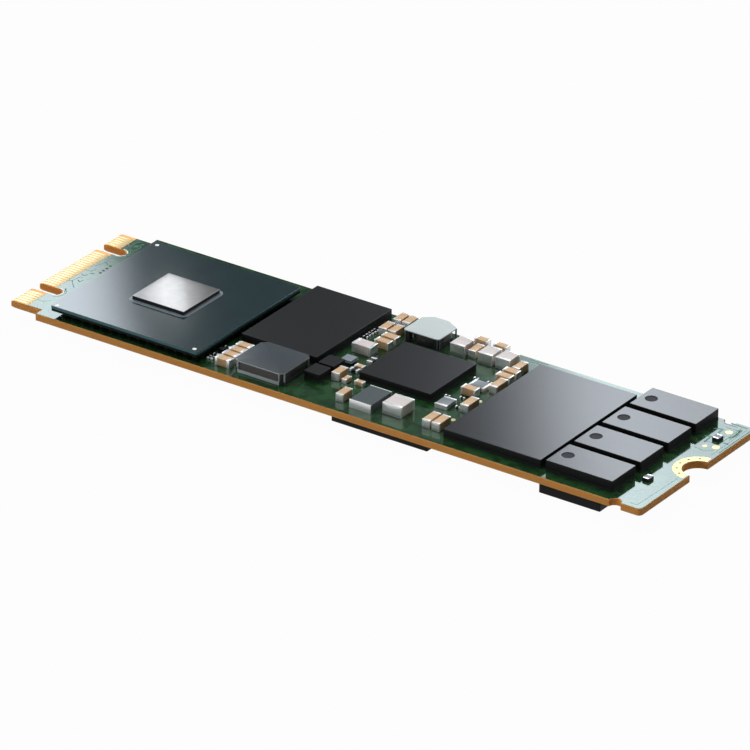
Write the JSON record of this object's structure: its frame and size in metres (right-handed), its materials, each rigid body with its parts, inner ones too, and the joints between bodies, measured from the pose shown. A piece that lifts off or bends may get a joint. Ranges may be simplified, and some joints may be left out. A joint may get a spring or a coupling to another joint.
{
  "type": "gumstick solid state drive",
  "caption": "Long narrow circuit card with a keyed gold-finger edge connector at one end, a half-round screw seat at the other, and soldered chips, capacitors and inductors on it.",
  "frame": {"origin": "middle of the card's footprint, level with the lowest faces of the underside packages", "axes": "+X from the edge connector to the screw end, +Y to the far long edge, +Z out of the component side"},
  "size_m": [0.08, 0.022, 0.0038],
  "materials": {
    "mask_laminate": "glossy green solder mask over glass-cloth laminate",
    "carrier_laminate": "semi-gloss blue-green solder mask",
    "bare_silicon": "polished bare silicon",
    "underfill_resin": "satin cured resin",
    "black_moulding": "fine matte moulded epoxy",
    "grey_moulding": "satin moulded epoxy, light grey where it catches the light",
    "crystal_lid": "satin nickel-plated lid",
    "dark_ferrite": "satin ferrite",
    "pale_ferrite": "satin light grey ferrite",
    "coil_enamel": "dark enamelled copper wire",
    "tan_ceramic": "satin fired ceramic with tinned end bands",
    "pale_ceramic": "satin fired ceramic with tinned end bands",
    "grey_ceramic": "satin grey body with tinned end bands"
  },
  "bodies": {
    "root": {"broad_capacitor": "pale_ceramic", "bulk_capacitor_1": "tan_ceramic", "bulk_capacitor_2": "tan_ceramic", "bulk_capacitor_3": "tan_ceramic", "bulk_capacitor_4": "tan_ceramic", "circuit_board": "mask_laminate", "clock_crystal": "crystal_lid", "controller_carrier": "carrier_laminate", "controller_die": "bare_silicon", "die_underfill": "underfill_resin", "edge_capacitor_1": "tan_ceramic", "edge_capacitor_2": "tan_ceramic", "edge_capacitor_3": "tan_ceramic", "edge_capacitor_4": "tan_ceramic", "input_filter": "grey_ceramic", "large_inductor_core": "dark_ferrite", "large_inductor_winding": "coil_enamel", "logic_chip": "black_moulding", "memory_package": "black_moulding", "power_chip": "black_moulding", "rail_capacitor_1": "tan_ceramic", "rail_capacitor_2": "tan_ceramic", "rail_capacitor_3": "tan_ceramic", "rail_capacitor_4": "tan_ceramic", "rail_capacitor_5": "tan_ceramic", "rail_capacitor_6": "tan_ceramic", "rail_capacitor_7": "tan_ceramic", "rail_capacitor_8": "tan_ceramic", "regulator_1": "black_moulding", "regulator_2": "black_moulding", "reserve_capacitor_1": "grey_moulding", "reserve_capacitor_2": "grey_moulding", "reserve_capacitor_3": "grey_moulding", "reserve_capacitor_4": "grey_moulding", "sense_resistor_1": "grey_ceramic", "sense_resistor_2": "grey_ceramic", "slim_capacitor": "pale_ceramic", "small_capacitor_1": "tan_ceramic", "small_capacitor_2": "tan_ceramic", "small_capacitor_3": "tan_ceramic", "small_inductor_core": "pale_ferrite", "small_inductor_winding": "coil_enamel", "storage_package": "grey_moulding", "strip_capacitor_1": "tan_ceramic", "strip_capacitor_2": "tan_ceramic", "strip_capacitor_3": "tan_ceramic", "strip_capacitor_4": "tan_ceramic", "strip_capacitor_5": "tan_ceramic", "strip_capacitor_6": "tan_ceramic", "strip_capacitor_7": "tan_ceramic", "under_capacitor": "tan_ceramic", "under_reserve_1": "grey_moulding", "under_reserve_2": "grey_moulding", "under_reserve_3": "grey_moulding", "under_reserve_4": "grey_moulding", "under_storage_package": "grey_moulding", "wide_capacitor_1": "pale_ceramic", "wide_capacitor_2": "pale_ceramic", "wide_capacitor_3": "pale_ceramic"}
  },
  "joints": []
}
